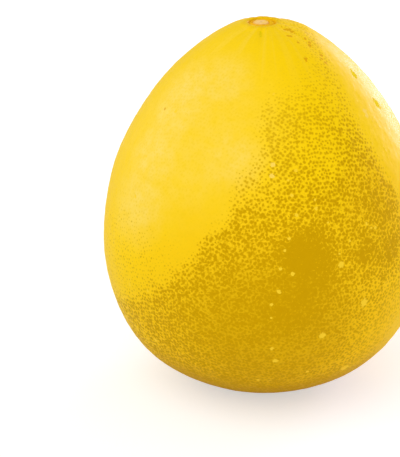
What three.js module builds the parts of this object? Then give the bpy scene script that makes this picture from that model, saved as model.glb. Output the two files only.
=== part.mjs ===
// A whole pomelo, pear-shaped and standing on its blossom end, with the stem button in its crown.
// Millimetres, +Z up. The origin lies on the surface that the fruit stands on, under the middle of the fruit.
// An azimuth is measured round +Z in radians: 0 faces -Y, the front, and a quarter turn faces +X.
import * as THREE from "three";

// Driving dimensions, in millimetres.
const WIDTH = 150; // greatest width of the fruit
const EGG_HEIGHT = 175.6; // the plain egg curve, before its base is pressed flat
const SHOULDER_TAPER = 0.183; // share by which the curve narrows upwards, evenly
const NECK_TAPER = 0.119; // share by which it narrows more towards the crown
const BELLY_FULLNESS = 0.015; // share by which both ends are filled out

const FOOT_LIFT = 1.9; // how much of the egg's base is pressed flat
const FOOT_BLEND = 0.5; // half-height of the soft edge round the flat spot
const STYLE_RADIUS = 7; // dimple of the style scar, in the middle of the flat spot
const STYLE_DEPTH = 1.6;

const DISH_RADIUS = 20; // the crown is a little flatter than the egg curve out to here
const DISH_DEPTH = 1.6;
const COLLAR_RADIUS = 8.2; // low swollen ring of rind round the stem button
const COLLAR_HEIGHT = 0.7;
const COLLAR_WIDTH = 2.5; // from the ring's crest to where it has mostly died away
const SEAT_RADIUS = 6.2; // flat-floored hollow inside the collar, which the button sits in
const SEAT_DEPTH = 1.5;
const SEAT_OFFSET = -2.1; // how far along X the hollow lies from the middle of the fruit
const OFFSET_REACH = 18; // radius at which the rind no longer follows that offset

const BUTTON_RADIUS = 5.8; // calyx, to the tips of its five lobes
const BUTTON_RIM = 1.2; // thickness of the calyx
const STUB_RADIUS = 3.8; // cut end of the stem, in the middle of the calyx
const STUB_HEIGHT = 1.5;
const CALYX_LOBES = 5;
const LOBE_NOTCH = 0.3; // how far the calyx edge draws in between two lobes

// Broad swellings of the girth: how many there are round it, how high they stand and the azimuth of one crest.
const SWELLINGS = [
  { count: 2, height: 0.3, azimuth: 0.75 },
  { count: 3, height: 0.3, azimuth: 1.9 },
  { count: 5, height: 0.2, azimuth: 0.2 },
];

// Gentle uneven ground all over the rind: a sum of plane waves whose directions are spread by the golden angle.
const WAVE_COUNT = 14;
const WAVE_LENGTH = 38;
const WAVE_HEIGHT = 0.055;
const WAVE_PHASE_STEP = 6;

// Shallow furrows that run down from the collar and fade on the shoulder.
const FURROW_COUNT = 7;
const FURROW_FRONT = -0.1; // azimuth of the furrow that faces the front
const FURROW_SWAY = 0.2; // how far the others stray from an even spacing
const FURROW_DEPTH = 0.6;
const FURROW_WIDTH = 0.13; // half-width, in radians of azimuth
const FURROW_START = 7.2; // radii between which a furrow is cut
const FURROW_DEEPEST = 11;
const FURROW_END = 34;

// Fineness of the faceted surface.
const SEGMENTS = 90; // round the fruit
const BODY_RINGS = 38; // between the flat spot and the dish
const DISH_RINGS = 11;
const BUTTON_SEGMENTS = 40;

const RIND_COLOUR = 0xf0c414;
const BUTTON_COLOUR = 0xb98a45;

const GOLDEN_ANGLE = Math.PI * (3 - Math.sqrt(5));

const clamp = THREE.MathUtils.clamp;

// 0 below low, 1 above high, and a smooth rise between them.
function rise(low, high, value) {
  return THREE.MathUtils.smoothstep(value, low, high);
}

// A smooth hollow of the given radius: 1 in its middle, 0 at its edge and beyond.
function hollow(radius, edge) {
  const share = clamp(1 - (radius / edge) ** 2, 0, 1);
  return share * share;
}

// The plain egg curve's share of its girth at a polar angle: 0 is the crown and PI the base.
function girthShare(angle) {
  const c = Math.cos(angle);
  return Math.sin(angle) * (1 - SHOULDER_TAPER * c + BELLY_FULLNESS * c ** 2 - NECK_TAPER * c ** 3);
}

// The factor that makes the egg's widest ring as wide as the fruit.
function girthFactor() {
  const steps = 2000;
  let widest = 0;
  for (let i = 0; i <= steps; i++) widest = Math.max(widest, girthShare((Math.PI * i) / steps));
  return WIDTH / 2 / widest;
}

const GIRTH = girthFactor();

// Radius and height of the egg at a polar angle, standing on the flattened base: x is the radius and y the height.
function eggPoint(angle) {
  return new THREE.Vector2(GIRTH * girthShare(angle), (EGG_HEIGHT / 2) * (1 + Math.cos(angle)) - FOOT_LIFT);
}

// The polar angle, between two others, at which the egg has this radius.
function angleAtRadius(radius, inner, outer) {
  for (let i = 0; i < 50; i++) {
    const middle = (inner + outer) / 2;
    if (GIRTH * girthShare(middle) < radius) inner = middle;
    else outer = middle;
  }
  return (inner + outer) / 2;
}

// Height of the rind on the crown, from the egg curve's height and radius there.
function crowned(height, radius) {
  const off = (radius - COLLAR_RADIUS) / COLLAR_WIDTH;
  return height - DISH_DEPTH * hollow(radius, DISH_RADIUS) + COLLAR_HEIGHT * Math.exp(-off * off);
}

// Height of the rind at a radius on or near the collar.
function crownHeight(radius) {
  return crowned(eggPoint(angleAtRadius(radius, 0, Math.PI / 3)).y, radius);
}

// A height with the base pressed flat at 0 and a soft edge round the flat spot.
function pressed(height) {
  if (height <= -FOOT_BLEND) return 0;
  if (height >= FOOT_BLEND) return height;
  return (height + FOOT_BLEND) ** 2 / (4 * FOOT_BLEND);
}

// The radius out to which the pressed base is perfectly flat.
function flatRadius() {
  const angle = Math.acos((2 * (FOOT_LIFT - FOOT_BLEND)) / EGG_HEIGHT - 1);
  return eggPoint(angle).x;
}

const FLAT_RADIUS = flatRadius();
const SEAT_HEIGHT = crownHeight(SEAT_RADIUS) - SEAT_DEPTH;

// The profile from the middle of the base to the middle of the crown: x is the radius and y the height.
function fruitProfile() {
  const points = [];
  const styleRings = 4;
  for (let i = 0; i <= styleRings; i++) {
    const radius = (STYLE_RADIUS * i) / styleRings;
    points.push(new THREE.Vector2(radius, STYLE_DEPTH * hollow(radius, STYLE_RADIUS)));
  }
  points.push(new THREE.Vector2(FLAT_RADIUS, 0));
  const start = angleAtRadius(FLAT_RADIUS, Math.PI, (2 * Math.PI) / 3);
  const end = angleAtRadius(DISH_RADIUS, 0, Math.PI / 3);
  for (let i = 1; i <= BODY_RINGS; i++) {
    const share = i / BODY_RINGS;
    const eased = share * (0.72 + 0.28 * share); // rings stand closer near the soft edge of the base
    const egg = eggPoint(start + (end - start) * eased);
    points.push(new THREE.Vector2(egg.x, pressed(egg.y)));
  }
  for (let i = 1; i <= DISH_RINGS; i++) {
    const share = i / DISH_RINGS;
    const eased = share * (1.5 - 0.5 * share); // rings stand closer on the collar
    const radius = DISH_RADIUS + (SEAT_RADIUS - DISH_RADIUS) * eased;
    points.push(new THREE.Vector2(radius, crownHeight(radius)));
  }
  points.push(new THREE.Vector2(SEAT_RADIUS, SEAT_HEIGHT));
  points.push(new THREE.Vector2(0, SEAT_HEIGHT));
  return points;
}

// The swellings at a height and azimuth, strongest round the belly.
function swellingHeight(height, azimuth) {
  const belly = Math.sin(Math.PI * clamp(height / EGG_HEIGHT, 0, 1));
  let total = 0;
  for (const swelling of SWELLINGS) {
    total += swelling.height * Math.cos(swelling.count * (azimuth - swelling.azimuth));
  }
  return total * belly;
}

// The uneven ground at a point of the rind.
function waveHeight(point) {
  let total = 0;
  for (let i = 0; i < WAVE_COUNT; i++) {
    const z = 1 - (2 * i + 1) / WAVE_COUNT;
    const flat = Math.sqrt(1 - z * z);
    const direction = new THREE.Vector3(
      flat * Math.cos(i * GOLDEN_ANGLE),
      flat * Math.sin(i * GOLDEN_ANGLE),
      z,
    );
    const turns = point.dot(direction) / WAVE_LENGTH;
    total += WAVE_HEIGHT * Math.sin(2 * Math.PI * turns + i * WAVE_PHASE_STEP);
  }
  return total;
}

// The furrows at a radius and azimuth near the crown, as a depth below the surface.
function furrowDepth(radius, azimuth) {
  const along = rise(FURROW_START, FURROW_DEEPEST, radius) * (1 - rise(FURROW_DEEPEST, FURROW_END, radius));
  let deepest = 0;
  for (let i = 0; i < FURROW_COUNT; i++) {
    const centre = FURROW_FRONT + (2 * Math.PI * i) / FURROW_COUNT + FURROW_SWAY * Math.sin(2.3 * i);
    const off = Math.atan2(Math.sin(azimuth - centre), Math.cos(azimuth - centre)) / FURROW_WIDTH;
    const strength = 0.75 + 0.25 * Math.cos(1.7 * i);
    deepest = Math.max(deepest, strength * Math.exp(-off * off));
  }
  return FURROW_DEPTH * along * deepest;
}

// How far along X a point at this radius on the crown lies from a true turned shape.
function offsetAt(radius) {
  return SEAT_OFFSET * (1 - rise(SEAT_RADIUS, OFFSET_REACH, radius));
}

// Moves every point of the turned fruit outwards or inwards by the relief, except on the base and in the seat.
function raiseRelief(geometry) {
  const position = geometry.getAttribute("position");
  const normal = geometry.getAttribute("normal");
  const point = new THREE.Vector3();
  const outward = new THREE.Vector3();
  for (let i = 0; i < position.count; i++) {
    point.fromBufferAttribute(position, i);
    outward.fromBufferAttribute(normal, i);
    const radius = Math.hypot(point.x, point.y);
    const azimuth = radius > 0 ? Math.atan2(point.x, -point.y) : 0;
    const onCrown = point.z > EGG_HEIGHT / 2;
    const away = onCrown ? rise(SEAT_RADIUS, OFFSET_REACH, radius) : rise(FOOT_BLEND, EGG_HEIGHT / 8, point.z);
    let height = away * (swellingHeight(point.z, azimuth) + waveHeight(point));
    if (onCrown) height -= furrowDepth(radius, azimuth);
    point.addScaledVector(outward, height);
    if (onCrown) point.x += offsetAt(radius);
    position.setXYZ(i, point.x, point.y, point.z);
  }
}

// The fruit: the profile turned round +Z, then given its relief.
function fruitGeometry() {
  const geometry = new THREE.LatheGeometry(fruitProfile(), SEGMENTS);
  geometry.rotateX(Math.PI / 2);
  raiseRelief(geometry);
  geometry.computeVertexNormals();
  return geometry;
}

// The stem button: a low calyx of five blunt lobes with the cut end of the stem in its middle.
function buttonGeometry() {
  const groove = STUB_RADIUS + 0.5;
  const profile = [
    [0, 0],
    [BUTTON_RADIUS - 0.4, 0],
    [BUTTON_RADIUS, 0.4 * BUTTON_RIM],
    [BUTTON_RADIUS - 0.2, 0.85 * BUTTON_RIM],
    [BUTTON_RADIUS - 0.9, BUTTON_RIM],
    [groove + 0.4, 0.9 * BUTTON_RIM],
    [groove, 0.7 * BUTTON_RIM],
    [STUB_RADIUS, 0.75 * STUB_HEIGHT],
    [STUB_RADIUS - 0.5, 0.97 * STUB_HEIGHT],
    [STUB_RADIUS - 1.6, STUB_HEIGHT],
    [0, 0.9 * STUB_HEIGHT],
  ].map(([radius, height]) => new THREE.Vector2(radius, height));
  const geometry = new THREE.LatheGeometry(profile, BUTTON_SEGMENTS);
  geometry.rotateX(Math.PI / 2);
  const position = geometry.getAttribute("position");
  for (let i = 0; i < position.count; i++) {
    const x = position.getX(i);
    const y = position.getY(i);
    const radius = Math.hypot(x, y);
    const azimuth = Math.atan2(x, -y);
    const edge = rise(groove, BUTTON_RADIUS, radius);
    const notch = LOBE_NOTCH * edge * (0.5 - 0.5 * Math.cos(CALYX_LOBES * azimuth));
    const share = radius > 0 ? (radius - notch) / radius : 1;
    position.setX(i, x * share);
    position.setY(i, y * share);
  }
  geometry.computeVertexNormals();
  return geometry;
}

function makeFruit() {
  const material = new THREE.MeshStandardMaterial({ color: RIND_COLOUR, roughness: 0.42, metalness: 0 });
  const mesh = new THREE.Mesh(fruitGeometry(), material);
  mesh.name = "fruit";
  return mesh;
}

function makeButton() {
  const material = new THREE.MeshStandardMaterial({ color: BUTTON_COLOUR, roughness: 0.85, metalness: 0 });
  const mesh = new THREE.Mesh(buttonGeometry(), material);
  mesh.name = "stem_button";
  mesh.position.set(SEAT_OFFSET, 0, SEAT_HEIGHT);
  return mesh;
}

// Both pieces, moved sideways together so that the middle of the fruit's outline stands over the origin.
function makePomelo() {
  const pomelo = new THREE.Group();
  pomelo.name = "pomelo";
  const fruit = makeFruit();
  pomelo.add(fruit, makeButton());
  fruit.geometry.computeBoundingBox();
  const middle = fruit.geometry.boundingBox.getCenter(new THREE.Vector3());
  pomelo.position.set(-middle.x, -middle.y, 0);
  return pomelo;
}

const pomelo = makePomelo();

export default pomelo;
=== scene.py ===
"""Finishes a whole pomelo round its solids: the rind with its oil glands, the stem button and a pale studio.

Metres, +Z up. An azimuth is measured round +Z: 0 faces -Y, the front, and a quarter turn faces +X.
"""

import itertools
import math

import bpy
import numpy as np
from bpy.props import FloatProperty, FloatVectorProperty, IntProperty, PointerProperty
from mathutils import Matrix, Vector


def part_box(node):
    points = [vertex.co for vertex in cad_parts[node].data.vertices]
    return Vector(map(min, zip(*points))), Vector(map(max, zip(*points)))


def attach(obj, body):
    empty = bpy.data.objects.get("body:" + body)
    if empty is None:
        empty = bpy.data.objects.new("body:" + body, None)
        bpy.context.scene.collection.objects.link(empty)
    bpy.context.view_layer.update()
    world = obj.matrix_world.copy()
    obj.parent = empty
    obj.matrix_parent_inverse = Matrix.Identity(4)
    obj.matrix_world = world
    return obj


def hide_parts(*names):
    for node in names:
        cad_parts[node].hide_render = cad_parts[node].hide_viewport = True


bl_info = {
    "name": "Pomelo maker",
    "version": (1, 0, 0),
    "blender": (4, 5, 0),
    "location": "3D View > Sidebar > Pomelo",
    "description": "Makes the rind, the stem button and the studio of a whole pomelo",
    "category": "Add Mesh",
}

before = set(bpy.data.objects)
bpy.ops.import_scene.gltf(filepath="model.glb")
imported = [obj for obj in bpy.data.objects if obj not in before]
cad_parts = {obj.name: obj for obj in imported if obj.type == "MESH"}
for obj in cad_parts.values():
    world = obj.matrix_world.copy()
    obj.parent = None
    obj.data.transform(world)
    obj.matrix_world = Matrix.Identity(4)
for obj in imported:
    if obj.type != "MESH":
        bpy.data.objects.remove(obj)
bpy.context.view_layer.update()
FRUIT_LOW, FRUIT_HIGH = (np.array(corner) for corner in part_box("fruit"))
BUTTON_LOW, BUTTON_HIGH = (np.array(corner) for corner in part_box("stem_button"))

MM = 0.001
GOLDEN_ANGLE = math.pi * (3 - math.sqrt(5))
SEED = 11

# The solids' own form, in the terms of its formula.
WIDTH = 150 * MM
EGG_HEIGHT = 175.6 * MM
SHOULDER_TAPER, NECK_TAPER, BELLY_FULLNESS = 0.183, 0.119, 0.015
FOOT_LIFT, FOOT_BLEND = 1.9 * MM, 0.5 * MM
STYLE_RADIUS, STYLE_DEPTH = 7 * MM, 1.6 * MM
DISH_RADIUS, DISH_DEPTH = 20 * MM, 1.6 * MM
COLLAR_RADIUS, COLLAR_HEIGHT, COLLAR_WIDTH = 8.2 * MM, 0.7 * MM, 2.5 * MM
SEAT_RADIUS, SEAT_DEPTH = 6.2 * MM, 1.5 * MM
SEAT_EDGE_IN, SEAT_EDGE_OUT = 0.25 * MM, 0.3 * MM
SEAT_OFFSET, OFFSET_REACH = -2.1 * MM, 18 * MM
SWELLINGS = ((2, 0.3 * MM, 0.75), (3, 0.3 * MM, 1.9), (5, 0.2 * MM, 0.2))
WAVE_COUNT, WAVE_LENGTH, WAVE_HEIGHT, WAVE_PHASE_STEP = 14, 38 * MM, 0.055 * MM, 6
FURROW_COUNT, FURROW_FRONT = 7, -0.1
FURROW_SWAY, FURROW_SWAY_STEP = 0.2, 2.3
FURROW_SHARE, FURROW_SHARE_SWING, FURROW_SHARE_STEP = 0.75, 0.25, 1.7
FURROW_DEPTH, FURROW_WIDTH = 0.6 * MM, 0.13
FURROW_START, FURROW_DEEPEST, FURROW_END = 7.2 * MM, 11 * MM, 34 * MM

# Glands crowd at the crown and at the base: by what share, and within what angle of the pole, in radians.
CROWN_CROWDING, CROWN_SPREAD = 0.42, 0.34
BASE_CROWDING, BASE_SPREAD = 0.15, 0.3
# The profile's normals are blurred over this many of its steps on either side.
NORMAL_BLUR = 30


# ---- form of the fruit


def rise(low, high, value):
    """0 below low, 1 above high, and 3t^2 - 2t^3 between them."""
    t = np.clip((value - low) / (high - low), 0.0, 1.0)
    return t * t * (3.0 - 2.0 * t)


def hollow(radius, edge):
    """(1 - (radius / edge)^2)^2 inside the edge and 0 outside it."""
    return np.clip(1.0 - (radius / edge) ** 2, 0.0, 1.0) ** 2


def girth_share(angle):
    """The egg's radius before scaling: sin(a) (1 - taper c + fullness c^2 - neck c^3), where c = cos(a)."""
    c = np.cos(angle)
    return np.sin(angle) * (1 - SHOULDER_TAPER * c + BELLY_FULLNESS * c**2 - NECK_TAPER * c**3)


def fruit_profile(steps=12000):
    """Radius and height of the turned profile, from the middle of the crown to the middle of the base.

    The egg curve is dished and given a collar at the crown, with a soft-edged round seat sunk in it. Its
    base is pressed flat, which leaves (h + b)^2 / 4b of a height h within b of the floor, and dimpled.
    """
    angle = np.linspace(0.0, math.pi, steps)
    share = girth_share(angle)
    radius = WIDTH / 2 * share / share.max()
    height = EGG_HEIGHT / 2 * (1 + np.cos(angle)) - FOOT_LIFT
    crown = angle < math.pi / 2
    soft = (np.clip(height, -FOOT_BLEND, FOOT_BLEND) + FOOT_BLEND) ** 2 / (4 * FOOT_BLEND)
    height = np.where(height < FOOT_BLEND, soft, height)
    collar = COLLAR_HEIGHT * np.exp(-(((radius - COLLAR_RADIUS) / COLLAR_WIDTH) ** 2))
    height = height + np.where(crown, collar - DISH_DEPTH * hollow(radius, DISH_RADIUS), 0.0)
    at_edge = np.interp(SEAT_RADIUS, radius[crown], height[crown])
    inside = 1 - rise(SEAT_RADIUS - SEAT_EDGE_IN, SEAT_RADIUS + SEAT_EDGE_OUT, radius)
    height = np.where(crown, height + inside * (at_edge - SEAT_DEPTH - height), height)
    dimple = STYLE_DEPTH * hollow(radius, STYLE_RADIUS)
    height = height + np.where(crown, 0.0, dimple)
    return radius, height


def plane_waves(points, count, length, phase_step):
    """Sum of sin(2 pi d.p / length + i phase_step) over directions d that the golden angle spreads out."""
    i = np.arange(count)
    z = 1 - (2 * i + 1) / count
    flat = np.sqrt(1 - z * z)
    directions = np.stack([flat * np.cos(i * GOLDEN_ANGLE), flat * np.sin(i * GOLDEN_ANGLE), z])
    return np.sin(2 * math.pi * (points @ directions) / length + i * phase_step).sum(axis=1)


def furrow_depth(radius, azimuth):
    """Depth of the crown's furrows: the deepest of some Gaussians of azimuth, times a hump of the radius."""
    along = rise(FURROW_START, FURROW_DEEPEST, radius) * (1 - rise(FURROW_DEEPEST, FURROW_END, radius))
    i = np.arange(FURROW_COUNT)
    centre = FURROW_FRONT + 2 * math.pi * i / FURROW_COUNT + FURROW_SWAY * np.sin(FURROW_SWAY_STEP * i)
    share = FURROW_SHARE + FURROW_SHARE_SWING * np.cos(FURROW_SHARE_STEP * i)
    turn = azimuth[:, None] - centre
    off = np.arctan2(np.sin(turn), np.cos(turn)) / FURROW_WIDTH
    return FURROW_DEPTH * along * (share * np.exp(-off * off)).max(axis=1)


class Fruit:
    """The fruit's surface as a function of two parameters, polar angle on a sphere and azimuth."""

    def __init__(self, polar_steps=4000):
        self.radius, self.height = fruit_profile()
        run = np.hypot(np.diff(self.radius), np.diff(self.height))
        self.run = np.concatenate([[0.0], np.cumsum(run)])
        polar = np.linspace(0.0, math.pi, polar_steps)
        at_crown = CROWN_CROWDING * np.exp(-((polar / CROWN_SPREAD) ** 2))
        at_base = BASE_CROWDING * np.exp(-(((polar - math.pi) / BASE_SPREAD) ** 2))
        pace = 1 - at_crown - at_base
        reach = np.concatenate([[0.0], np.cumsum((pace[1:] + pace[:-1]) / 2)])
        self.polar = polar
        self.reach = reach / reach[-1] * self.run[-1]
        slope_r = np.gradient(self.radius, self.run)
        slope_z = np.gradient(self.height, self.run)
        kernel = np.hanning(2 * NORMAL_BLUR + 1)
        kernel /= kernel.sum()
        self.out_r = np.convolve(np.pad(-slope_z, NORMAL_BLUR, mode="edge"), kernel, mode="valid")
        self.out_z = np.convolve(np.pad(slope_r, NORMAL_BLUR, mode="edge"), kernel, mode="valid")

    def place(self, directions):
        """Points on the smooth fruit for unit directions, their outward normals and their profile radius.

        The polar angle gives a distance along the profile, which is walked more slowly where glands crowd.
        The relief is then added along the normal.
        """
        polar = np.arccos(np.clip(directions[:, 2], -1, 1))
        azimuth = np.arctan2(directions[:, 0], -directions[:, 1])
        along = np.interp(polar, self.polar, self.reach)
        radius = np.interp(along, self.run, self.radius)
        height = np.interp(along, self.run, self.height)
        out_r = np.interp(along, self.run, self.out_r)
        out_z = np.interp(along, self.run, self.out_z)
        turn = np.stack([np.sin(azimuth), -np.cos(azimuth)], axis=1)
        points = np.column_stack([turn * radius[:, None], height])
        normals = np.column_stack([turn * out_r[:, None], out_z])
        normals /= np.linalg.norm(normals, axis=1, keepdims=True)
        on_crown = height > EGG_HEIGHT / 2
        belly = np.sin(math.pi * np.clip(height / EGG_HEIGHT, 0, 1))
        swelling = sum(tall * np.cos(count * (azimuth - crest)) for count, tall, crest in SWELLINGS) * belly
        wave = WAVE_HEIGHT * plane_waves(points, WAVE_COUNT, WAVE_LENGTH, WAVE_PHASE_STEP)
        off_seat = rise(SEAT_RADIUS, OFFSET_REACH, radius)
        away = np.where(on_crown, off_seat, rise(FOOT_BLEND, EGG_HEIGHT / 8, height))
        relief = away * (swelling + wave) - np.where(on_crown, furrow_depth(radius, azimuth), 0.0)
        points += normals * relief[:, None]
        points[:, 0] += np.where(on_crown, SEAT_OFFSET * (1 - off_seat), 0.0)
        return points, normals, radius


def about_axis(azimuth, radius, height):
    """The point at an azimuth, in degrees, a distance from the axis and a height."""
    turn = math.radians(azimuth)
    return (radius * math.sin(turn), -radius * math.cos(turn), height)


def on_rind(azimuth, height, steps=2000):
    """The point of the plain egg at an azimuth, in degrees, and a height, in millimetres."""
    angle = math.acos(2 * (height * MM + FOOT_LIFT) / EGG_HEIGHT - 1)
    widest = girth_share(np.linspace(0, math.pi, steps)).max()
    radius = WIDTH / 2 * float(girth_share(np.array(angle))) / widest
    return about_axis(azimuth, radius, height * MM)


def on_crown(azimuth, radius):
    """The point of the crown at an azimuth, in degrees, and a distance from the axis, in millimetres."""
    radii, heights = fruit_profile()
    crown = radii[: np.argmax(radii)]
    height = float(np.interp(radius * MM, crown, heights[: len(crown)]))
    return about_axis(azimuth, radius * MM, height)


def seat_middle():
    """The middle of the stem button at its top, from its box in the solids."""
    low, high = BUTTON_LOW, BUTTON_HIGH
    return (low[0] + high[0]) / 2, (low[1] + high[1]) / 2, high[2]


# ---- mesh helpers


def sphere_of_triangles(frequency, slack=0.01, steps_per_unit=1e6):
    """Unit directions and triangles of an icosahedron whose faces are cut into a triangular grid.

    A grid point's shares w of a face's corners become sin(w a), where a is the edge's angle, which keeps the
    triangles even. Points that are the same to one step are merged.
    """
    golden = (1 + math.sqrt(5)) / 2
    corners = np.array(
        [(a, b * golden, 0.0) for a in (-1, 1) for b in (-1, 1)]
        + [(0.0, a, b * golden) for a in (-1, 1) for b in (-1, 1)]
        + [(b * golden, 0.0, a) for a in (-1, 1) for b in (-1, 1)]
    )
    corners /= np.linalg.norm(corners, axis=1, keepdims=True)
    edge = math.acos(np.sort(corners @ corners[0])[-2])
    joined = corners @ corners.T > math.cos(edge) - slack
    faces = [
        (i, j, k)
        for i, j, k in itertools.permutations(range(12), 3)
        if i < j and i < k and joined[i, j] and joined[j, k] and joined[i, k]
        and np.dot(np.cross(corners[j] - corners[i], corners[k] - corners[i]), corners[i]) > 0
    ]
    p, q = np.meshgrid(np.arange(frequency + 1), np.arange(frequency + 1), indexing="ij")
    kept = p + q <= frequency
    p, q = p[kept], q[kept]
    shares = np.sin(np.stack([frequency - p - q, p, q], axis=1) / frequency * edge)
    index = np.full((frequency + 2, frequency + 2), -1)
    index[p, q] = np.arange(len(p))
    upper = np.stack([index[p, q], index[p + 1, q], index[p, q + 1]], axis=1)
    lower = np.stack([index[p + 1, q], index[p + 1, q + 1], index[p, q + 1]], axis=1)
    grid = np.concatenate([upper[(upper >= 0).all(axis=1)], lower[(lower >= 0).all(axis=1)]])
    points = np.concatenate([shares @ corners[list(face)] for face in faces])
    points /= np.linalg.norm(points, axis=1, keepdims=True)
    triangles = np.concatenate([grid + n * len(p) for n in range(len(faces))])
    rounded = np.round(points * steps_per_unit)
    _, first, inverse = np.unique(rounded, axis=0, return_index=True, return_inverse=True)
    return points[first], inverse.reshape(-1)[triangles]


def quarter(points, triangles):
    """Cuts each triangle into four at the middles of its edges, which are pushed out to the unit sphere.

    Returns the points, the given ones first, the new triangles, and the corners that each was cut from.
    """
    sides = [triangles[:, [0, 1]], triangles[:, [1, 2]], triangles[:, [2, 0]]]
    edges = np.sort(np.concatenate(sides), axis=1)
    pairs, inverse = np.unique(edges, axis=0, return_inverse=True)
    middles = points[pairs].sum(axis=1)
    middles /= np.linalg.norm(middles, axis=1, keepdims=True)
    ab, bc, ca = inverse.reshape(3, -1) + len(points)
    a, b, c = triangles.T
    cut = [np.stack(three, axis=1) for three in ((a, ab, ca), (b, bc, ab), (c, ca, bc), (ab, bc, ca))]
    return np.concatenate([points, middles]), np.concatenate(cut), np.tile(triangles, (4, 1))


def tilt_off_pole(directions, round_x=0.37, round_y=0.21):
    """The directions turned by two small angles, so that no seam of the twenty faces lies along the crown."""
    cos_x, sin_x, cos_y, sin_y = math.cos(round_x), math.sin(round_x), math.cos(round_y), math.sin(round_y)
    about_x = np.array([[1, 0, 0], [0, cos_x, -sin_x], [0, sin_x, cos_x]])
    about_y = np.array([[cos_y, 0, sin_y], [0, 1, 0], [-sin_y, 0, cos_y]])
    return directions @ (about_x @ about_y).T


def fit_to_box(points, low, high):
    """Scales and moves points so that their box is the given one."""
    lowest, highest = points.min(axis=0), points.max(axis=0)
    return (points - lowest) / (highest - lowest) * (high - low) + low


def mesh_piece(name, points, faces, body="root"):
    """A smooth-shaded mesh object from arrays of points and of faces with equal numbers of corners."""
    mesh = bpy.data.meshes.new(name)
    sides = faces.shape[1]
    mesh.vertices.add(len(points))
    mesh.loops.add(faces.size)
    mesh.polygons.add(len(faces))
    for part, key, values in (
        (mesh.vertices, "co", points.astype(np.float32)),
        (mesh.loops, "vertex_index", faces.astype(np.int32)),
        (mesh.polygons, "loop_start", np.arange(0, faces.size, sides, dtype=np.int32)),
        (mesh.polygons, "loop_total", np.full(len(faces), sides, np.int32)),
        (mesh.polygons, "use_smooth", np.ones(len(faces), bool)),
    ):
        part.foreach_set(key, values.ravel())
    mesh.update(calc_edges=True)
    mesh.validate()
    piece = bpy.data.objects.new(name, mesh)
    bpy.context.scene.collection.objects.link(piece)
    if body:
        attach(piece, body)
    return piece


def keep_attribute(piece, name, values):
    """Stores numbers, or vectors in a three-dimensional array, as a corner attribute for a material."""
    kind, key = ("FLOAT_VECTOR", "vector") if values.ndim == 3 else ("FLOAT", "value")
    attribute = piece.data.attributes.new(name, kind, "CORNER")
    attribute.data.foreach_set(key, np.ascontiguousarray(values, np.float32).ravel())


# ---- shader maths


class Level:
    """A number that varies over a surface, as a node's output socket. Arithmetic on it adds Math nodes."""

    def __init__(self, finish, socket):
        self.finish = finish
        self.socket = socket

    def maths(self, operation, first, second):
        """A Math node's result on two numbers or levels."""
        return self.finish.node("ShaderNodeMath", {"operation": operation}, {0: first, 1: second})

    def __add__(self, other):
        return self.maths("ADD", self, other)

    def __sub__(self, other):
        return self.maths("SUBTRACT", self, other)

    def __rsub__(self, other):
        return self.maths("SUBTRACT", other, self)

    def __mul__(self, other):
        return self.maths("MULTIPLY", self, other)

    def __truediv__(self, other):
        return self.maths("DIVIDE", self, other)

    __radd__ = __add__
    __rmul__ = __mul__

    def least(self, other):
        """The lesser of the two at each point."""
        return self.maths("MINIMUM", self, other)

    def most(self, other):
        """The greater of the two at each point."""
        return self.maths("MAXIMUM", self, other)

    def ridge(self, width):
        """1 where this is a half, falling to 0 and below on either side, and 0 at this width from it."""
        return 1 - self.maths("ABSOLUTE", self - 0.5, 0.0) / width

    def rise(self, low, high):
        """0 below low, 1 above high, smooth between."""
        ranges = {0: self, 1: low, 2: high, 3: 0.0, 4: 1.0}
        return self.finish.node("ShaderNodeMapRange", {"interpolation_type": "SMOOTHSTEP"}, ranges)


class Finish:
    """A procedural material, with short words for the nodes that it is made of."""

    def __init__(self, name, **shader):
        self.material = bpy.data.materials.new(name)
        self.material.use_nodes = True
        self.nodes = self.material.node_tree.nodes
        self.links = self.material.node_tree.links
        self.shader = self.nodes["Principled BSDF"]
        for socket, value in shader.items():
            self.shader.inputs[socket.replace("_", " ").title().replace("Ior", "IOR")].default_value = value
        self.place = self.node("ShaderNodeTexCoord", {}, {}, "Object")

    def node(self, kind, settings, inputs, output=0):
        """Adds a node of this kind with these settings, then gives its sockets their values or links."""
        node = self.nodes.new(kind)
        for name, value in settings.items():
            setattr(node, name, value)
        for key, value in inputs.items():
            if isinstance(value, Level):
                self.links.new(value.socket, node.inputs[key])
            else:
                node.inputs[key].default_value = value
        return Level(self, node.outputs[output])

    def mix(self, share, first, second):
        """The first colour turned into the second by a share."""
        return self.node("ShaderNodeMix", {"data_type": "RGBA"}, {0: share, 6: first, 7: second}, 2)

    def noise(self, size, detail=2.0, roughness=0.5, place=None):
        """Noise whose blotches are about this size, from 0 to 1."""
        values = {"Vector": place or self.place, "Scale": 1 / size, "Detail": detail, "Roughness": roughness}
        return self.node("ShaderNodeTexNoise", {}, values)

    def vector(self, operation, *inputs, output="Vector"):
        """A Vector Math node's result."""
        return self.node("ShaderNodeVectorMath", {"operation": operation}, dict(enumerate(inputs)), output)

    def near(self, point, inner, outer):
        """1 within the inner distance of a point, 0 past the outer one."""
        return 1 - self.vector("DISTANCE", self.place, point, output="Value").rise(inner, outer)

    def attribute(self, name, output="Fac"):
        """A named attribute of the mesh."""
        return self.node("ShaderNodeAttribute", {"attribute_name": name}, {}, output)

    def length(self, name):
        """The length of a named vector attribute of the mesh."""
        return self.vector("LENGTH", self.attribute(name, "Vector"), output="Value")

    def bump(self, height, distance, strength=1.0, below=None):
        """Raises the surface by a height from 0 to 1 of this distance, on top of another bump."""
        values = {"Height": height, "Distance": distance, "Strength": strength}
        if below is not None:
            values["Normal"] = below
        return self.node("ShaderNodeBump", {}, values)

    def use(self, socket, value):
        """Gives the shader's socket what varies over the surface."""
        self.links.new(value.socket, self.shader.inputs[socket])


# ---- settings


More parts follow.
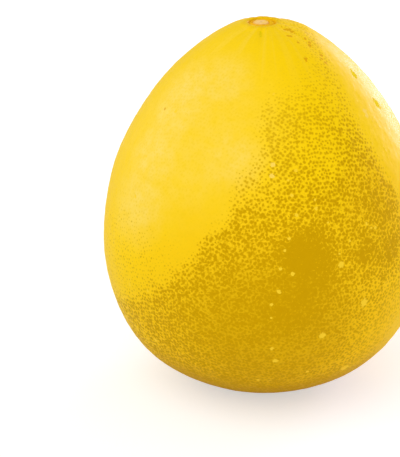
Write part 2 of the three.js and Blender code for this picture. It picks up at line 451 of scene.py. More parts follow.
def length_setting(name, description, default):
    return FloatProperty(
        name=name, description=description, default=default, min=0.0, unit="LENGTH", precision=5
    )


def power_setting(name, description, default):
    return FloatProperty(name=name, description=description, default=default, min=0.0, unit="POWER")


def count_setting(name, description, default):
    return IntProperty(name=name, description=description, default=default, min=0)


def colour_setting(name, of, *rgb):
    return FloatVectorProperty(
        name=name, description="Colour of " + of, default=(*rgb, 1), size=4, min=0.0, max=1.0, subtype="COLOR"
    )


class PomeloRindSettings(bpy.types.PropertyGroup):
    """Sizes and colours of the rind."""

    gland_radius: length_setting("Gland radius", "Radius of an oil gland's dark round spot", 0.62 * MM)
    gland_depth: length_setting("Gland depth", "How far a gland's middle lies below the rind", 0.11 * MM)
    gland_stray: FloatProperty(
        name="Gland stray", description="Stray in shares of the spacing", default=0.26, min=0.0, max=0.4
    )
    pebble_height: length_setting("Pebble height", "Height of the rind's fine unevenness", 0.035 * MM)
    pale_spots: count_setting("Pale spots", "Number of small pale blemishes round the sides and back", 120)
    brown_spots: count_setting("Brown spots", "Number of small brown or green blemishes on the back", 40)
    # Lemon is painted sheen: the paler rind where the soft light above falls, on the left and by the crown.
    painted_sheen: colour_setting("Lemon", "the rind on the side that faced the sun", 1.0, 0.735, 0.13)
    gold: colour_setting("Gold", "the rind between the glands", 1.0, 0.665, 0.004)
    ochre: colour_setting("Ochre", "the rind between the glands low down", 0.99, 0.62, 0.008)
    # Where the rind is smooth means where the painted glare washes the glands out.
    honey: colour_setting("Honey", "the glands where the rind is smooth", 0.94, 0.62, 0.01)
    gland: colour_setting("Gland", "the oil glands", 0.6, 0.34, 0.0005)
    mustard: colour_setting("Mustard", "the oil glands low down", 0.64, 0.36, 0.0008)
    chalky_mark: colour_setting("Chalky mark", "the palest blemishes", 1.0, 0.7, 0.1)
    pale_mark: colour_setting("Pale mark", "the pale blemishes", 1.0, 0.67, 0.03)
    brown_mark: colour_setting("Brown mark", "the brown scuffs", 0.75, 0.355, 0.001)
    green_mark: colour_setting("Green mark", "the green creases", 0.8, 0.62, 0.001)
    ring: colour_setting("Ring", "the mottled ring round the stem button", 0.82, 0.46, 0.002)
    pit: colour_setting("Pit", "the pit that the stem button sits in", 0.95, 0.54, 0.002)
    scar: colour_setting("Scar", "the style scar in the base", 0.2, 0.11, 0.03)


class PomeloButtonSettings(bpy.types.PropertyGroup):
    """Colours of the stem button."""

    calyx: colour_setting("Calyx", "the dry calyx", 0.88, 0.48, 0.002)
    speckle: colour_setting("Speckle", "the calyx's light speckle", 0.96, 0.55, 0.006)
    brim: colour_setting("Brim", "the calyx low down at its edge", 0.75, 0.38, 0.003)
    cut: colour_setting("Cut", "the cut end of the stem", 1.0, 0.68, 0.25)
    grain: colour_setting("Grain", "the cut end's fine grain", 1.0, 0.55, 0.16)
    stain: colour_setting("Stain", "the cut end's stains", 1.0, 0.63, 0.08)
    bark: colour_setting("Bark", "the bark round the cut end", 0.86, 0.46, 0.05)
    pith: colour_setting("Pith", "the speck of pith", 0.6, 0.3, 0.1)


class PomeloStageSettings(bpy.types.PropertyGroup):
    """Light and view."""

    camera_distance: length_setting("Camera distance", "From the camera to the middle of the fruit", 1.0)
    key_strength: FloatProperty(
        name="Key strength", description="Strength of the soft light above", default=1.19
    )
    edge_power: power_setting("Edge power", "Power of the faint light behind the left", 1.4)
    rim_power: power_setting("Rim power", "Power of the light behind the right", 14.0)
    side_power: power_setting("Side power", "Power of the low light on the right", 7.0)


# ---- rind

# The glands are the points of a sphere of triangles whose twenty faces have this many along each side.
GLANDS_ALONG_EDGE = 49
# Waves that crowd the glands, with their length and size in shares of the glands' spacing.
CROWDING_COUNT, CROWDING_LENGTH, CROWDING_SIZE, CROWDING_PHASE_STEP = 9, 5, 0.05, 2.1
# A gland strays by this share of a random vector, as far as the setting lets it.
STRAY_SHARE = 0.4
SIZE_SPREAD, LEAST_SIZE, GREATEST_SIZE = 0.2, 0.5, 1.5
ABSENT_SHARE, ABSENT_SIZE = 0.05, 0.3
# The rind's unevenness as sets of waves: count, length, phase step, and what the set is divided by.
PEBBLE_WAVES = ((40, 7 * MM, 2.4, 5), (40, 3.3 * MM, 1.7, 9))
# It fades below this height, and there is none within this radius, under the button.
PEBBLE_FADE, PEBBLE_START = 1 * MM, SEAT_RADIUS + 0.7 * MM

CHALKY, PALE, BROWN, GREEN = -1, 0, 1, 2
# Pale blemishes on the front: azimuth in degrees, height and radius in millimetres.
FRONT_SPOTS = (
    (4.5, 152, 0.6), (12.5, 124, 0.8), (9, 120.5, 0.6), (10, 114.5, 0.9), (19, 112, 0.6), (19, 108.5, 0.8),
    (11.5, 106.5, 0.9), (23, 102, 0.6), (39, 98, 0.8), (8.5, 97, 0.8), (41, 95.5, 0.7), (43, 95, 0.9),
    (31, 92.5, 0.6), (7, 92, 0.7), (26.5, 88, 0.5), (27, 83, 1.5), (5.5, 84, 0.8), (9.5, 81.5, 1.0),
    (5, 73.5, 1.1), (2.5, 67.5, 0.8), (2.5, 61, 0.6), (36.5, 62, 2.1), (21, 49.5, 1.7), (3, 45, 0.9),
    (4.5, 37.5, 1.3), (36.5, 25, 2.3), (18, 28.5, 0.8), (-2, 24, 0.8),
)
CHALKY_SPOTS = ((3, 126.5, 1.1), (2.5, 122.3, 1.1), (60.5, 139.5, 1.5), (60, 137.8, 1.2))
# Single blemishes on the left, with their tones.
LEFT_SPOTS = ((-62.5, 139, 0.7, BROWN), (-57.7, 120, 0.6, PALE))
# Brown scuffs beside the button: azimuth in degrees, distance from the axis and radius in millimetres.
CROWN_SCUFFS = (
    (54, 8.3, 0.4), (70, 9.1, 0.5), (52.5, 10.4, 0.9), (56, 10.9, 1.1), (60, 11.5, 1.2),
    (63.5, 11.5, 0.7), (58, 13.4, 1.2), (56.5, 14.8, 0.5), (38, 15.3, 0.8), (41, 15.8, 0.9),
    (60.5, 19.7, 0.8), (43.5, 20.1, 0.7), (60, 21.9, 0.9), (56, 23, 1.0), (38, 27.9, 1.0),
    (37.5, 28.6, 0.7), (58.5, 28.7, 0.8), (55.5, 29.9, 0.7), (55.5, 31.7, 0.8),
)
# A short green crease before the button, and the radius of its marks.
CROWN_CREASE = ((-16, 10.8), (-14.5, 11.6), (-13.5, 12.4), (-12.5, 13.2), (-12, 14))
CROWN_CREASE_RADIUS = 0.5
# Short green creases on the right: azimuth and height of the two ends of each, and the radii from end to end.
SIDE_CREASES = ((76.3, 152.8, 74, 150.4), (74.8, 140.6, 75.8, 136.8))
CREASE_RADII = (1.0, 1.6, 1.7, 2.0, 1.9, 1.3, 0.8)
# Random blemishes: the azimuths, heights and radii they lie between, and the power that crowds them down.
PALE_FIELD = ((75, 320), (5, 155), (0.4, 1.1), 1.3)
BROWN_FIELD = ((100, 280), (10, 160), (0.3, 0.9), 1)
GREEN_SHARE = 0.2

# Regions of the rind: azimuth in degrees, height in millimetres, and the radii within which each is full
# and past which it is gone.
BACK = (180, 90, 60, 114)
# Painted glare: where light washes the glands out so that the rind looks smooth, on the left and on the right
# edge, weaker low on the left.
GLARE_LEFT = (-80, 120, 56, 92)
ROUGHER_LEFT = (-62, 62, 20, 62)
GLARE_RIGHT = (125, 112, 62, 88)
RIGHT_SHOULDER = (72, 138, 36, 88)
LEFT_OF_CROWN = (-40, 168, 15, 46)
HIGH_LEFT = (-60, 160, 35, 85)
# The low front and the right middle take the shade level: painted shade on the right middle, and low on the
# front partly painted shade and partly the rind's own duller tone.
LOW_FRONT = (5, 40, 40, 105)
LOW_RIGHT = (64, 40, 14, 44)
SHADE_RIGHT = (48, 98, 12, 46)
FAINT_FRONT = (3, 50, 20, 52)
# The front, where the base is darkened with painted shade.
FOOT_SHADE_FRONT = (8, 20, 34, 86)
# The same two radii for the painted shade at the foot, the ring round the button, its pit and the style scar.
FOOT_REACH, RING_REACH = (55 * MM, 79 * MM), (6.6 * MM, 10 * MM)
PIT_REACH, SCAR_REACH = (5.9 * MM, 6.9 * MM), (1.8 * MM, 4.5 * MM)

# Patches: a region and its strength. In bare patches the light net is gone.
BARE_PATCHES = (
    (14, 89, 3, 18, 1.0), (16, 80, 3, 17, 0.8), (9, 66, 4, 26, 0.5),
    (49, 101, 2, 16, 0.45), (38, 86, 1, 11, 0.55), (48, 83, 1, 11, 0.55),
)
# Patches of painted sheen, where the soft light above falls, are paler.
SHEEN_PATCHES = (
    (-42, 132, 12, 60, 0.42), (-54, 148, 4, 25, 1.0), (-54, 139, 4, 26, 1.0), (-54, 122, 4, 26, 1.0),
    (-54, 102, 4, 28, 0.9), (-16, 128, 3, 24, 0.75), (-34, 154, 3, 24, 0.75),
)
# Clearer patches have fewer glands, or more where the strength is negative.
CLEARER_PATCHES = (
    (6, 163, 7, 31, 0.42), (52, 42, 16, 56, 0.15), (86, 42, 22, 46, 0.35), (48, 151, 4, 16, 0.2),
    (41.5, 142.5, 3, 14, 0.12), (25, 129, 3, 16, 0.14), (-4, 119, 5, 18, 0.16), (23, 105.5, 3, 14, -0.07),
    (52, 100, 3, 14, 0.14), (56.5, 36, 4, 18, 0.14), (10, 43, 4, 18, 0.08),
)

# Noise sizes.
WAVER_SIZE, MOTTLE_SIZE, BLOTCH_SIZE, WAX_SIZE, PORE_SIZE = 16 * MM, 14 * MM, 5 * MM, 6 * MM, 0.35 * MM
WORM_SIZE, THREAD_SIZE, TATTER_SIZE, RING_MOTTLE_SIZE = 0.85 * MM, 1.5 * MM, 0.9 * MM, 1.6 * MM
STREAK_TURN = 0.16
# What each kind of rind adds to a point's distance from its gland: the more, the less of the gland shows.
# The glare lean hides the glands under painted glare.
GLARE_LEAN, CROWN_LEAN, BACK_LEAN, PLAIN_LEAN = 0.95, 0.45, 0.1, -0.1
BARE_LEAN, SHADE_LEAN, BLOTCH_LEAN, MOTTLED_BACK_LEAN = -0.5, -0.16, 0.08, 0.5
# How far a region's glands are lightened, which is painted highlight except on the back, and how far the net
# is darkened on the lower front and at the foot, which is painted shade.
HIGH_LEFT_HIGHLIGHT, BACK_LIFT, LOW_RIGHT_HIGHLIGHT, GLARE_RIGHT_LIFT = 0.5, 0.45, 0.4, 0.7
FRONT_FADE, FOOT_SHADE = 0.55, 0.75
PORE_RELIEF, CREASE_RELIEF, NET_RELIEF = 0.03 * MM, 0.15 * MM, 0.05 * MM


def rind_mesh(settings):
    """The rind: triangles between strayed glands, laid over the fruit and cut in four, with sunk glands.

    Returns points, normals, triangles, each corner's offsets from its three glands, and the glands' radii.
    """
    draw = np.random.default_rng(SEED)
    glands, net = sphere_of_triangles(GLANDS_ALONG_EDGE)
    spacing = math.sqrt(8 * math.pi / math.sqrt(3) / len(glands))
    for axis in range(3):
        waves = plane_waves(glands, CROWDING_COUNT, CROWDING_LENGTH * spacing, CROWDING_PHASE_STEP + axis)
        glands[:, axis] += CROWDING_SIZE * spacing * waves
    stray = draw.normal(0.0, 1.0, glands.shape)
    limit = settings.gland_stray / np.linalg.norm(stray, axis=1)
    stray *= np.minimum(limit, STRAY_SHARE)[:, None] * spacing
    glands += stray
    glands /= np.linalg.norm(glands, axis=1, keepdims=True)
    present = draw.uniform(size=len(glands)) > ABSENT_SHARE
    size = np.clip(draw.normal(1.0, SIZE_SPREAD, len(glands)), LEAST_SIZE, GREATEST_SIZE)
    size *= np.where(present, 1.0, ABSENT_SIZE)
    directions, triangles, owners = quarter(glands, net)
    points, normals, radius = Fruit().place(tilt_off_pole(directions))
    under_button = (radius < PEBBLE_START) & (points[:, 2] > EGG_HEIGHT / 2)
    uneven = np.where(under_button, 0.0, rise(0.0, PEBBLE_FADE, points[:, 2]))
    pebble = sum(plane_waves(points, *wave) / share for *wave, share in PEBBLE_WAVES)
    lift = settings.pebble_height * pebble
    lift[: len(glands)] -= settings.gland_depth * size * present
    points += normals * (lift * uneven)[:, None]
    points[:, 2] = np.maximum(points[:, 2], 0.0)
    points = fit_to_box(points, FRUIT_LOW, FRUIT_HIGH)
    offsets = [points[triangles] - points[owners[:, i]][:, None] for i in range(3)]
    radii = np.repeat(settings.gland_radius * size[owners], 3, axis=0)
    return points, normals, triangles, offsets, radii


def random_mark(draw, azimuths, heights, radii, crowding):
    """The centre and the radius of a random blemish, at a height low + (high - low) u^crowding."""
    azimuth = draw.uniform(*azimuths)
    height = heights[0] + (heights[1] - heights[0]) * draw.uniform() ** crowding
    return on_rind(azimuth, height), draw.uniform(*radii) * MM


def scattered_marks(settings):
    """Centres, radii and tones of the rind's blemishes, some at set places and some at random ones."""
    draw = np.random.default_rng(SEED + 1)
    marks = [(on_rind(a, h), r * MM, PALE) for a, h, r in FRONT_SPOTS]
    marks += [(on_rind(a, h), r * MM, CHALKY) for a, h, r in CHALKY_SPOTS]
    marks += [(*random_mark(draw, *PALE_FIELD), PALE) for _ in range(settings.pale_spots)]
    marks += [(on_crown(a, d), r * MM, BROWN) for a, d, r in CROWN_SCUFFS]
    marks += [(on_crown(a, d), CROWN_CREASE_RADIUS * MM, GREEN) for a, d in CROWN_CREASE]
    marks += [(on_rind(a, h), r * MM, tone) for a, h, r, tone in LEFT_SPOTS]
    for ends in SIDE_CREASES:
        places = np.linspace(ends[:2], ends[2:], len(CREASE_RADII))
        marks += [(on_rind(*place), r * MM, GREEN) for place, r in zip(places, CREASE_RADII)]
    for _ in range(settings.brown_spots):
        centre, radius = random_mark(draw, *BROWN_FIELD)
        marks.append((centre, radius, GREEN if draw.uniform() < GREEN_SHARE else BROWN))
    centres, radii, tones = zip(*marks)
    return np.array(centres), np.array(radii), np.array(tones, float)


def settle_marks(points, normals, centres):
    """Moves each mark's centre along the rind's normal to the height of the rind's nearest point."""
    settled = centres.copy()
    for mark, centre in enumerate(centres):
        i = np.argmin(((points - centre) ** 2).sum(axis=1))
        settled[mark] += normals[i] * np.dot(points[i] - centre, normals[i])
    return settled


def nearest_mark(points, centres):
    """Index of the mark that is nearest to each point."""
    best = np.full(len(points), np.inf)
    index = np.zeros(len(points), int)
    for i, centre in enumerate(centres):
        away = ((points - centre) ** 2).sum(axis=1)
        closer = away < best
        best[closer] = away[closer]
        index[closer] = i
    return index


def keep_marks(piece, points, normals, triangles, settings):
    """Stores each corner's offset from the mark nearest to its triangle, and that mark's radius and tone."""
    centres, radii, tones = scattered_marks(settings)
    centres = settle_marks(points, normals, centres)
    nearest = nearest_mark(points[triangles].mean(axis=1), centres)
    keep_attribute(piece, "mark_offset", points[triangles] - centres[nearest][:, None])
    keep_attribute(piece, "mark_radius", np.repeat(radii[nearest], 3))
    keep_attribute(piece, "mark_tone", np.repeat(tones[nearest], 3))


def region(finish, azimuth, height, inner, outer):
    """1 within the inner radius of a place on the rind, 0 past the outer one."""
    return finish.near(on_rind(azimuth, height), inner * MM, outer * MM)


def patches(finish, rows):
    """Each row's region times its strength."""
    return [strength * region(finish, *place) for *place, strength in rows]


def strongest(levels):
    """The greatest of some levels at each point."""
    greatest = levels[0]
    for level in levels[1:]:
        greatest = greatest.most(level)
    return greatest


def glare_sides(finish, back):
    """Where painted glare washes the glands out, with wavering edges, and the right side of it alone."""
    waver = 0.5 * (finish.noise(WAVER_SIZE, 2.0) - 0.5)
    left = (region(finish, *GLARE_LEFT) + waver).rise(0.38, 0.8)
    left = left * (1 - (0.9 * back).most(0.55 * region(finish, *ROUGHER_LEFT)))
    right = (region(finish, *GLARE_RIGHT) + waver).rise(0.3, 0.8) * region(finish, *RIGHT_SHOULDER)
    return left.most(0.85 * right), right


def light_rind(finish, settings, crown, shade):
    """Gold rind, painted lemon sheen in blotches on the left and in streaks by the crown, and ochre low down.
    """
    blotch = 0.45 + 0.55 * finish.noise(BLOTCH_SIZE, 4.0).rise(0.25, 0.75)
    sheen = strongest(patches(finish, SHEEN_PATCHES)) * blotch
    around = finish.vector("NORMALIZE", finish.vector("MULTIPLY", finish.place, (1, 1, 0)))
    streaks = crown * finish.noise(STREAK_TURN, 2.0, place=around).rise(0.45, 0.65)
    light = finish.mix(sheen.most(0.2 * streaks), settings.gold, settings.painted_sheen)
    return finish.mix(shade, light, settings.ochre)


def gland_distance(finish, shade):
    """Distance from the nearest gland, in gland radii, with noise that draws glands together."""
    a, b, c = (finish.length("gland_offset_" + n) / finish.attribute("gland_radius_" + n) for n in "abc")
    worms = finish.noise(WORM_SIZE, 0.0) - 0.5
    threads = finish.noise(THREAD_SIZE, 0.0).ridge(0.1).most(-0.5)
    return 0.48 * a.least(b).least(c).least(1.6) + 0.7 * (worms + 0.3 * shade * threads)


def paint_marks(finish, settings, colour):
    """The colour with the blemishes on it, which have ragged edges, and where the green creases are."""
    distance = finish.length("mark_offset") / finish.attribute("mark_radius")
    ragged = distance + 1.5 * (finish.noise(TATTER_SIZE, 3.0) - 0.5)
    inside = 1 - ragged.rise(0.7, 1.1)
    tone = finish.attribute("mark_tone")
    green = tone.rise(1.4, 1.6)
    tint = finish.mix(tone.rise(-0.6, -0.4), settings.chalky_mark, settings.pale_mark)
    tint = finish.mix(tone.rise(0.4, 0.6), tint, settings.brown_mark)
    tint = finish.mix(green, tint, settings.green_mark)
    return finish.mix(inside * (1 - 0.2 * tone.rise(0, 1)), colour, tint), inside * green


def rind_finish(settings):
    """Waxy rind: a net of light rind round darker glands.

    The net is the distance from the nearest gland plus a lean. Where painted glare washes the glands out, the
    lean is so high that a gland is only a honey speck. In the bare patches it is so low that the net is gone.
    Over this lie blemishes, of which the green creases are matt and sunk, the button's ring and pit, and the
    style scar.
    """
    finish = Finish("rind", specular_ior_level=0.045, specular_tint=(1, 0.75, 0.15, 1))
    mottle = finish.noise(MOTTLE_SIZE, 3.0) - 0.5
    back = region(finish, *BACK)
    crown = region(finish, *LEFT_OF_CROWN)
    smooth, right = glare_sides(finish, back)
    # The shade level turns the rind ochre and its glands mustard: painted shade on the right middle, and low
    # on the front partly painted shade and partly the rind's own duller tone.
    low = region(finish, *LOW_FRONT).most(0.8 * region(finish, *SHADE_RIGHT))
    shade = (low + 0.5 * mottle).rise(0.1, 0.95)
    light = light_rind(finish, settings, crown, shade)
    deep = finish.mix(shade, settings.gland, settings.mustard)

    blotch = finish.noise(BLOTCH_SIZE, 1.0) - 0.5
    bare = strongest(patches(finish, BARE_PATCHES)) * (1 + 1.2 * blotch)
    first, *others = patches(finish, CLEARER_PATCHES)
    lean = GLARE_LEAN * smooth + CROWN_LEAN * crown + sum(others, first) + BARE_LEAN * bare
    lean = lean + SHADE_LEAN * shade + PLAIN_LEAN + BLOTCH_LEAN * blotch
    lean = lean + back * (BACK_LEAN + MOTTLED_BACK_LEAN * mottle)
    distance = gland_distance(finish, shade)
    net = (distance + lean).rise(0.08, 0.75)
    # Painted highlight: the glands are lightened at the high left, low on the right and in the right glare;
    # on the back they are lightened for the rind's own fainter glands.
    lift = (HIGH_LEFT_HIGHLIGHT * region(finish, *HIGH_LEFT)).most(BACK_LIFT * back)
    lift = lift.most(LOW_RIGHT_HIGHLIGHT * region(finish, *LOW_RIGHT)).most(GLARE_RIGHT_LIFT * right)
    net = 1 - (1 - net) * (1 - lift)
    # Painted shade: the net is darkened towards the glands' colour along the base at the front, and low on
    # the front, where it is partly the rind's own plainer tone.
    foot = (finish.near((0, 0, 0), *FOOT_REACH) + 0.5 * mottle) * region(finish, *FOOT_SHADE_FRONT)
    fade = (FRONT_FADE * region(finish, *FAINT_FRONT)).most(FOOT_SHADE * foot.most(0).least(1))

    light = finish.mix((0.36 + 0.24 * back) * (1 - distance.rise(0.1, 0.6)), light, settings.honey)
    colour, creased = paint_marks(finish, settings, finish.mix(net * (1 - fade), deep, light))
    ring = finish.near(seat_middle(), *RING_REACH) * finish.noise(RING_MOTTLE_SIZE, 3.0).rise(0.2, 0.8)
    colour = finish.mix(0.8 * ring, colour, settings.ring)
    pit = finish.near(seat_middle(), *PIT_REACH)
    colour = finish.mix(pit, colour, settings.pit)
    colour = finish.mix(finish.near((0, 0, STYLE_DEPTH), *SCAR_REACH), colour, settings.scar)
    finish.use("Base Color", colour)
    wax = 0.46 + 0.14 * finish.noise(WAX_SIZE, 3.0)
    finish.use("Roughness", wax - 0.1 * net + 0.2 * pit + 0.5 * creased)
    pores = finish.bump(finish.noise(PORE_SIZE, 3.0), PORE_RELIEF, 0.5)
    sunk = finish.bump(1 - creased, CREASE_RELIEF, 0.8, pores)
    finish.use("Normal", finish.bump(net, NET_RELIEF, 0.6, sunk))
    return finish.material


class POMELO_OT_make_rind(bpy.types.Operator):
    """Makes the rind over the fruit's solid"""

    bl_idname = "pomelo.make_rind"
    bl_label = "Make rind"

    def execute(self, context):
        settings = context.scene.pomelo_rind
        points, normals, triangles, offsets, radii = rind_mesh(settings)
        piece = mesh_piece("rind", points, triangles)
        for name, offset, radius in zip("abc", offsets, radii.T):
            keep_attribute(piece, "gland_offset_" + name, offset)
            keep_attribute(piece, "gland_radius_" + name, radius)
        keep_marks(piece, points, normals, triangles, settings)
        piece.data.materials.append(rind_finish(settings))
        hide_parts("fruit")
        return {"FINISHED"}


# ---- stem button


# The button's relief. Radii are shares of its own radius, and heights and depths are shares of its thickness.
CALYX_LOBES, LOBE_DEPTH, CALYX_HEIGHT, CALYX_FALL = 5, 0.05, 0.8, 0.32
STUB_EDGE, STUB_HEIGHT, STUB_DOME, STUB_OFFSET = 0.62, 0.93, 0.05, -0.5 * MM
GROWTH_RINGS, GROWTH_RELIEF = 0.28, 0.03
GROOVE_OUT, GROOVE_WIDTH, GROOVE_DEPTH = 0.05, 0.09, 0.35
LEAST_HEIGHT, SIDE_BULGE = 0.05, 0.02
# Distances from the stub's middle between which each kind of wood fades, and the brim's two depths.
CUT_EDGE, BARK_EDGE, PITH_EDGE = (3.2 * MM, 4.0 * MM), (2.4 * MM, 3.4 * MM), (0.3 * MM, 0.9 * MM)
BRIM_TOP, BRIM_FOOT = 0.5 * MM, 1.3 * MM
# Noise sizes, the waver of the edges and the speckle's relief.
EDGE_SIZE, SPECKLE_SIZE, GRAIN_SIZE, STAIN_SIZE = 1.5 * MM, 0.5 * MM, 0.8 * MM, 2.6 * MM
EDGE_WAVER, SPECKLE_RELIEF = 0.9 * MM, 0.12 * MM


def ripple(azimuth, count, size, phase=0.0):
    """size sin(count azimuth + phase), a wave that goes round this many times."""
    return size * np.sin(count * azimuth + phase)


def button_surface(around=160, across=64, side_rings=8, foot_rings=7):
    """The stem button's upper surface and edge, closed by a flat foot, as one grid from the middle outwards.

    The height is a domed disc for the cut stem, a groove round it and a calyx that falls off at its lobed
    edge. Wrinkles are ripples that turn as the radius grows.
    """
    low, high = BUTTON_LOW, BUTTON_HIGH
    middle = (low + high) / 2
    edge = (high[0] - low[0]) / 2
    t = np.linspace(0, 1, across)[:, None]
    azimuth = np.linspace(0, 2 * math.pi, around, endpoint=False)[None, :]
    lobes = np.cos(CALYX_LOBES * azimuth)
    stub = STUB_EDGE + ripple(azimuth, 3, 0.03, 0.6) + ripple(azimuth, 7, 0.02)
    radius = edge * t * (1 - LOBE_DEPTH * (0.5 - 0.5 * lobes) ** 2 - ripple(azimuth, 11, 0.012, 1))
    growth = GROWTH_RELIEF * np.cos(2 * math.pi * t / GROWTH_RINGS)
    face = STUB_HEIGHT + growth - STUB_DOME * (t / STUB_EDGE) ** 2
    groove = 1 - rise(0.0, GROOVE_WIDTH, np.abs(t - stub - GROOVE_OUT))
    calyx = CALYX_HEIGHT - CALYX_FALL * rise(0.86, 1.0, t) - LOBE_DEPTH * lobes * rise(0.7, 0.9, t)
    wrinkle = ripple(azimuth, 17, 0.05, 4 * t) * rise(0.68, 0.85, t) + ripple(azimuth, 29, 0.03, -3 * t)
    height = face + (calyx + wrinkle - face) * rise(stub - 0.02, stub + 0.08, t) - GROOVE_DEPTH * groove
    grain = ripple(azimuth, 23, 0.012, 9 * t) * rise(0.12, 0.4, t) * (1 - rise(0.5, 0.6, t))
    height = (high[2] - low[2]) * np.clip(height + grain, LEAST_HEIGHT, 1.0)
    x = middle[0] + STUB_OFFSET * (1 - rise(0.6, 0.95, t)) + radius * np.sin(azimuth)
    y = middle[1] - radius * np.cos(azimuth)
    top = np.stack([x, y, low[2] + height], axis=2)
    down = np.linspace(0, 1, side_rings)[1:, None]
    outer = top[-1][None]
    bulge = 1 + SIDE_BULGE * np.sin(math.pi * down)
    side_xy = middle[:2] + (outer[:, :, :2] - middle[:2]) * bulge[:, :, None]
    side_z = low[2] + (outer[:, :, 2] - low[2]) * (1 - down)
    side = np.concatenate([side_xy, side_z[:, :, None]], axis=2)
    inward = np.linspace(1, 0, foot_rings)[1:, None, None]
    foot_xy = middle[:2] + (side[-1][None, :, :2] - middle[:2]) * inward
    foot = np.concatenate([foot_xy, np.full(foot_xy.shape[:2] + (1,), low[2])], axis=2)
    return np.concatenate([top[1:], side, foot[:-1]]), top[0, 0], foot[-1, 0]


def closed_rings(rings, first, last):
    """Points and triangles of rings joined to each other and to a point at either end, facing outwards."""
    count, around = rings.shape[:2]
    points = np.concatenate([rings.reshape(-1, 3), first[None], last[None]])
    i = np.arange(count * around).reshape(count, around)
    j = np.roll(i, -1, axis=1)
    a, b, c, d = i[:-1], j[:-1], j[1:], i[1:]
    walls = np.concatenate([np.stack([a, c, b], 2).reshape(-1, 3), np.stack([a, d, c], 2).reshape(-1, 3)])
    start = np.stack([np.full(around, count * around), i[0], j[0]], 1)
    end = np.stack([np.full(around, count * around + 1), j[-1], i[-1]], 1)
    return points, np.concatenate([walls, start, end])


def button_finish(settings):
    """Speckled dry calyx, darker at its brim, round a pale cut stem with stains, bark and a speck of pith."""
    finish = Finish("stem_button", roughness=0.8, specular_ior_level=0.08)
    x, y, z = seat_middle()
    height = finish.node("ShaderNodeSeparateXYZ", {}, {0: finish.place}, "Z")
    flat = finish.vector("MULTIPLY", finish.place, (1, 1, 0))
    away = finish.vector("DISTANCE", flat, (x + STUB_OFFSET, y, 0), output="Value")
    ragged = away + EDGE_WAVER * (finish.noise(EDGE_SIZE, 3.0) - 0.5)
    speckle = finish.noise(SPECKLE_SIZE, 4.0, 0.6)
    calyx = finish.mix(speckle.rise(0.3, 0.7), settings.calyx, settings.speckle)
    calyx = finish.mix(1 - height.rise(z - BRIM_FOOT, z - BRIM_TOP), calyx, settings.brim)
    cut = finish.mix(finish.noise(GRAIN_SIZE, 4.0).rise(0.4, 0.8), settings.cut, settings.grain)
    cut = finish.mix(0.6 * finish.noise(STAIN_SIZE, 1.0).rise(0.45, 0.65), cut, settings.stain)
    cut = finish.mix(0.6 * ragged.rise(*BARK_EDGE), cut, settings.bark)
    cut = finish.mix(0.4 * (1 - ragged.rise(*PITH_EDGE)), cut, settings.pith)
    finish.use("Base Color", finish.mix(1 - ragged.rise(*CUT_EDGE), calyx, cut))
    finish.use("Normal", finish.bump(speckle, SPECKLE_RELIEF, 0.8))
    return finish.material


class POMELO_OT_make_stem_button(bpy.types.Operator):
    """Makes the dry calyx with the cut stem in it"""

    bl_idname = "pomelo.make_stem_button"
    bl_label = "Make stem button"

    def execute(self, context):
        points, triangles = closed_rings(*button_surface())
        piece = mesh_piece("stem_button_dry", points, triangles)
        piece.data.materials.append(button_finish(context.scene.pomelo_button))
        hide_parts("stem_button")
        return {"FINISHED"}


# ---- studio

CAMERA_ELEVATION = math.radians(22)
IMAGE_SIZE = (400, 457)
FOCAL_PIXELS = 2160.8
FRUIT_MIDDLE_PIXEL = (264.8, 199.9)
SENSOR = 36.0
# The floor's colour in the light and to the camera, and how strongly it glows to the camera alone.
FLOOR_LIT, FLOOR_SEEN, FLOOR_GLOW = (0.8, 0.8, 0.8, 1), (0.65, 0.65, 0.65, 1), 0.5
# Where the lights stand, the sun's spread, and the other lights' width and colour.
KEY_PLACE, KEY_ANGLE = (-0.5, -0.5, 0.78), math.radians(70)
EDGE_LIGHT = ((-1.1, 0.65, 0.35), 0.8, (1, 0.98, 0.8))
RIM_LIGHT = ((0.8, 1.05, 0.17), 0.7, (1, 0.87, 1.45))
SIDE_LIGHT = ((1.2, -0.75, 0.0), 1.2, (1, 0.92, 0.72))


def add_light(name, kind, place, target, **settings):
    """A light at a place that faces a target and that the camera doesn't see."""
    data = bpy.data.lights.new(name, kind)
    for key, value in settings.items():
        setattr(data, key, value)
    light = bpy.data.objects.new(name, data)
    light.location = place
    light.rotation_euler = (Vector(target) - Vector(place)).to_track_quat("-Z", "Y").to_euler()
    light.visible_camera = False
    bpy.context.scene.collection.objects.link(light)


def add_camera(distance):
    """A camera that looks down on the fruit, which stands right of and above the picture's middle."""
    middle = Vector((0, 0, EGG_HEIGHT / 2 - FOOT_LIFT))
    back = Vector((0, -math.cos(CAMERA_ELEVATION), math.sin(CAMERA_ELEVATION)))
    up = Vector((0, math.sin(CAMERA_ELEVATION), math.cos(CAMERA_ELEVATION)))
    metres_per_pixel = distance / FOCAL_PIXELS
    right_by = (FRUIT_MIDDLE_PIXEL[0] - IMAGE_SIZE[0] / 2) * metres_per_pixel
    up_by = (IMAGE_SIZE[1] / 2 - FRUIT_MIDDLE_PIXEL[1]) * metres_per_pixel
    target = middle - Vector((right_by, 0, 0)) - up * up_by
    data = bpy.data.cameras.new("camera")
    data.sensor_width = SENSOR
    data.lens = SENSOR * FOCAL_PIXELS / max(IMAGE_SIZE)
    camera = bpy.data.objects.new("camera", data)
    camera.location = middle + back * distance
    camera.rotation_euler = (target - camera.location).to_track_quat("-Z", "Y").to_euler()
    bpy.context.scene.collection.objects.link(camera)
    bpy.context.scene.camera = camera


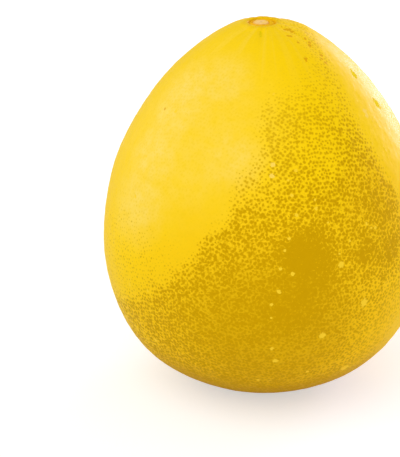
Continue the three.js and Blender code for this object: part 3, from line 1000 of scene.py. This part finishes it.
def add_floor(radius=6.0, around=96):
    """A round pale floor with its top at height 0."""
    turn = np.linspace(0, 2 * math.pi, around, endpoint=False)
    rim = np.column_stack([radius * np.cos(turn), radius * np.sin(turn), np.zeros(around)])
    points = np.concatenate([rim, [[0, 0, 0]]])
    i = np.arange(around)
    faces = np.stack([np.full(around, around), i, np.roll(i, -1)], 1)
    floor = mesh_piece("floor", points, faces, body=None)
    finish = Finish("floor", roughness=0.9, specular_ior_level=0.0, emission_strength=FLOOR_GLOW)
    seen = finish.node("ShaderNodeLightPath", {}, {}, "Is Camera Ray")
    finish.use("Base Color", finish.mix(seen, FLOOR_LIT, FLOOR_SEEN))
    finish.use("Emission Color", finish.mix(seen, (0, 0, 0, 1), (1, 1, 1, 1)))
    floor.data.materials.append(finish.material)


def add_world(camera_white=1.0, fill=0.58):
    """White all round to the camera, and a softer white as light."""
    world = bpy.data.worlds.new("studio")
    world.use_nodes = True
    bpy.context.scene.world = world
    nodes, links = world.node_tree.nodes, world.node_tree.links
    background = nodes["Background"]
    background.inputs["Color"].default_value = (1, 1, 1, 1)
    path = nodes.new("ShaderNodeLightPath")
    ranged = nodes.new("ShaderNodeMapRange")
    ranged.inputs[3].default_value = fill
    ranged.inputs[4].default_value = camera_white
    links.new(path.outputs["Is Camera Ray"], ranged.inputs[0])
    links.new(ranged.outputs[0], background.inputs["Strength"])


class POMELO_OT_set_stage(bpy.types.Operator):
    """Sets the floor, the lights and the camera"""

    bl_idname = "pomelo.set_stage"
    bl_label = "Set stage"

    def execute(self, context):
        settings = context.scene.pomelo_stage
        context.scene.view_settings.view_transform = "Standard"
        add_world()
        add_floor()
        middle = (0, 0, EGG_HEIGHT / 2)
        add_light("key", "SUN", KEY_PLACE, middle, energy=settings.key_strength, angle=KEY_ANGLE)
        for name, power, (place, size, color) in (
            ("edge", settings.edge_power, EDGE_LIGHT),
            ("rim", settings.rim_power, RIM_LIGHT),
            ("side", settings.side_power, SIDE_LIGHT),
        ):
            add_light(name, "AREA", place, middle, energy=power, size=size, color=color)
        add_camera(settings.camera_distance)
        return {"FINISHED"}


# ---- panel and registration


class POMELO_PT_maker(bpy.types.Panel):
    """Lists the pomelo's pieces and their settings"""

    bl_label = "Pomelo"
    bl_idname = "POMELO_PT_maker"
    bl_space_type = "VIEW_3D"
    bl_region_type = "UI"
    bl_category = "Pomelo"

    def draw(self, context):
        for group_name, operator in zip(GROUPS, OPERATORS):
            group = getattr(context.scene, group_name)
            box = self.layout.box()
            for name in group.bl_rna.properties.keys():
                if name not in ("rna_type", "name"):
                    box.prop(group, name)
            box.operator(operator.bl_idname)


GROUPS = {
    "pomelo_rind": PomeloRindSettings,
    "pomelo_button": PomeloButtonSettings,
    "pomelo_stage": PomeloStageSettings,
}
OPERATORS = (POMELO_OT_make_rind, POMELO_OT_make_stem_button, POMELO_OT_set_stage)
CLASSES = (*GROUPS.values(), *OPERATORS, POMELO_PT_maker)


def register():
    for cls in CLASSES:
        bpy.utils.register_class(cls)
    for name, group in GROUPS.items():
        setattr(bpy.types.Scene, name, PointerProperty(type=group))


def unregister():
    for name in GROUPS:
        delattr(bpy.types.Scene, name)
    for cls in reversed(CLASSES):
        bpy.utils.unregister_class(cls)


def main():
    """Registers the add-on, makes every piece in order and sets the stage."""
    register()
    bpy.ops.pomelo.make_rind()
    bpy.ops.pomelo.make_stem_button()
    bpy.ops.pomelo.set_stage()


if __name__ == "__main__":
    main()
